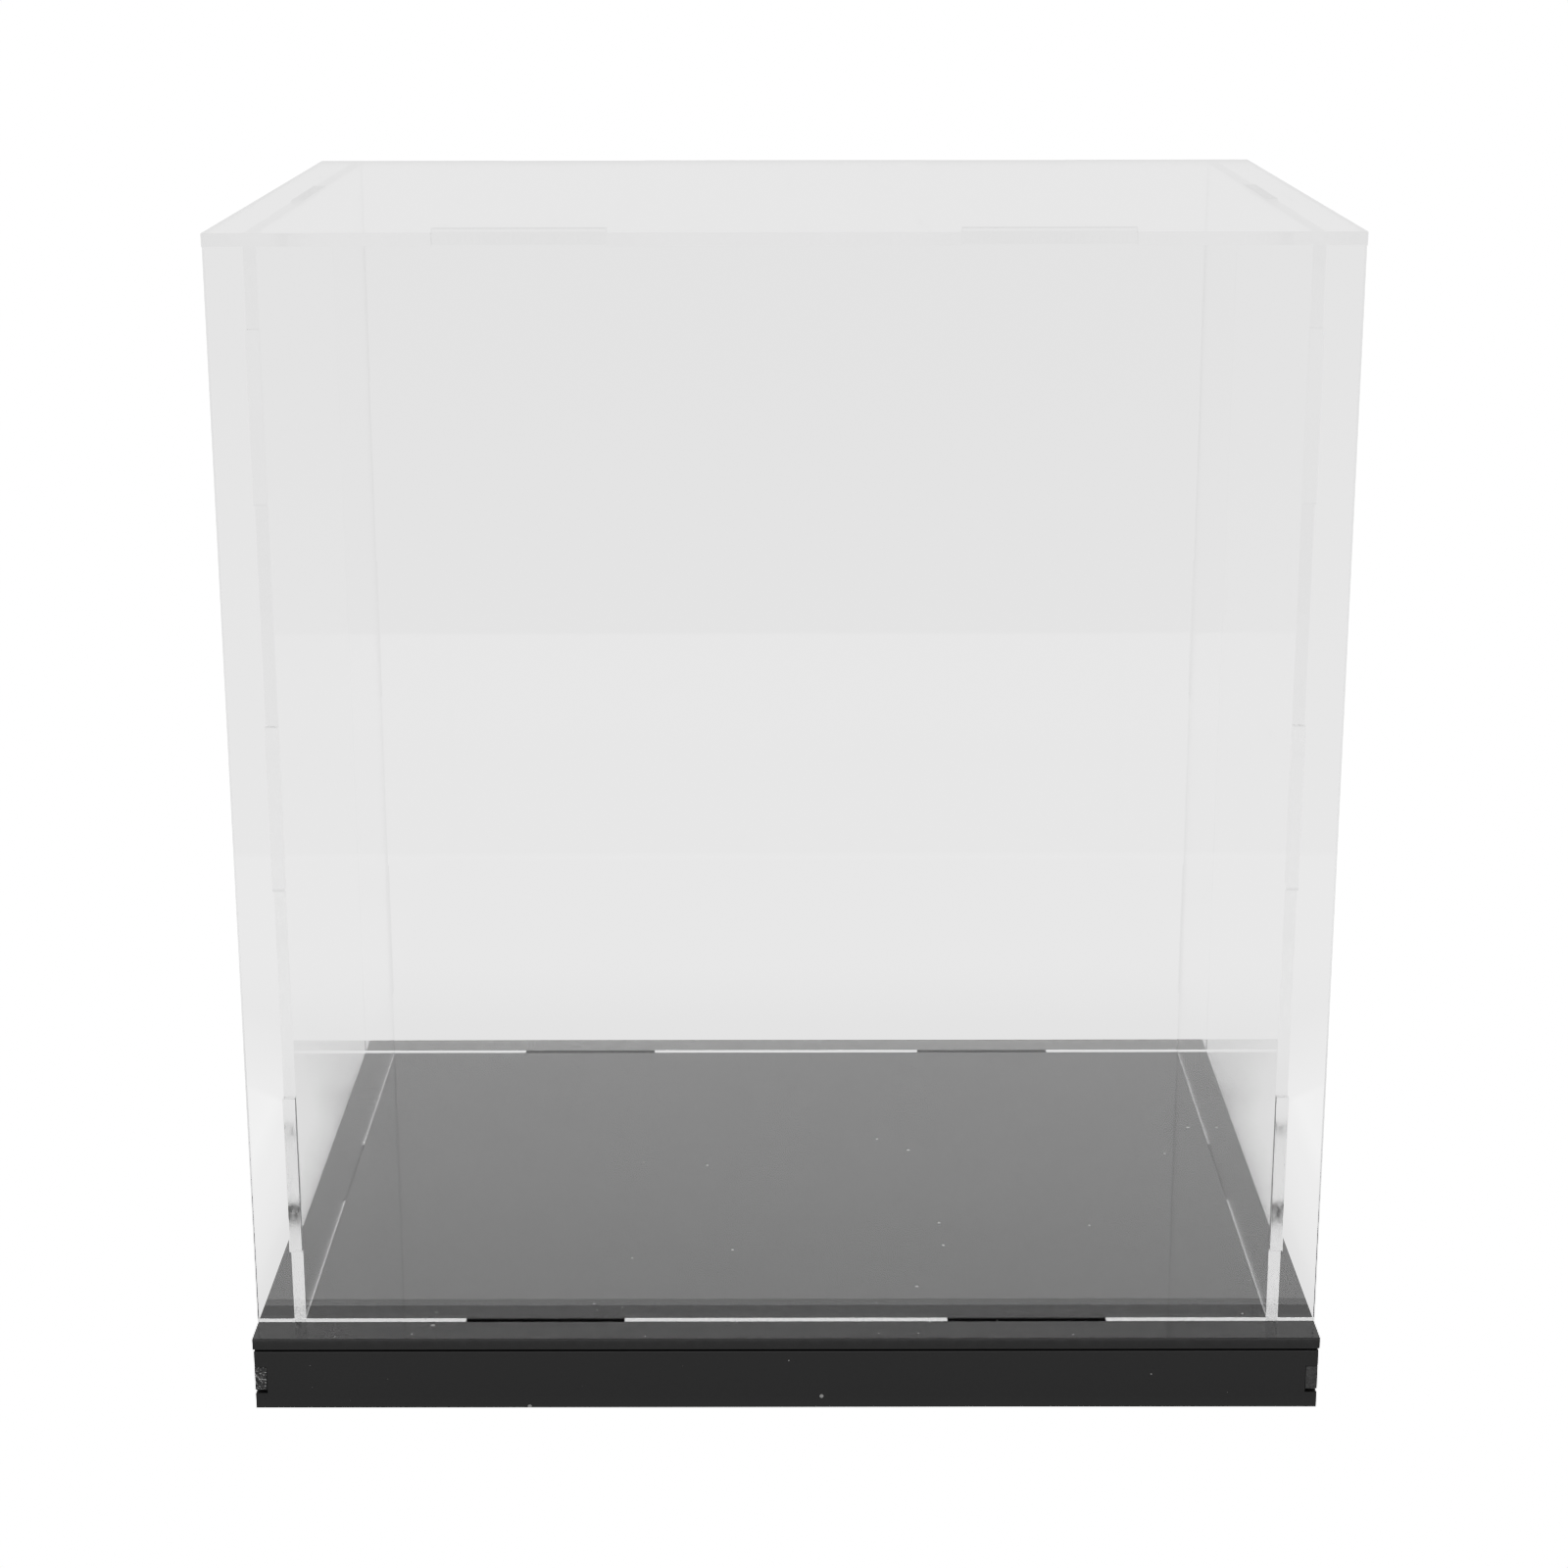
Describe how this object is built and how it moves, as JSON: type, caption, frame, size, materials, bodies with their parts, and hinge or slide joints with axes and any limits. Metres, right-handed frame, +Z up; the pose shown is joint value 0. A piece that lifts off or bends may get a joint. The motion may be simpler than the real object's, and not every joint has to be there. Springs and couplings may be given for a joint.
{
  "type": "acrylic display cube",
  "caption": "Clear acrylic display cube: a five-panel tab-and-slot cover that lifts off a shallow black gloss base with finger-jointed skirts.",
  "frame": {"origin": "on the table, under the middle of the base", "axes": "+Z up, -Y the front, +X to the right as seen from the front"},
  "size_m": [0.25, 0.2, 0.274],
  "materials": {
    "clear_acrylic": "polished",
    "black_acrylic": "polished"
  },
  "bodies": {
    "base": {"base_plate": "black_acrylic", "base_front_skirt": "black_acrylic", "base_rear_skirt": "black_acrylic", "base_left_skirt": "black_acrylic", "base_right_skirt": "black_acrylic"},
    "cover": {"front_panel": "clear_acrylic", "back_panel": "clear_acrylic", "left_panel": "clear_acrylic", "right_panel": "clear_acrylic", "top_panel": "clear_acrylic"}
  },
  "joints": [
    {"name": "cover_lift", "type": "slide", "parent": "base", "child": "cover", "axis": [0, 0, 1], "range_m": [0, 0.28]}
  ]
}
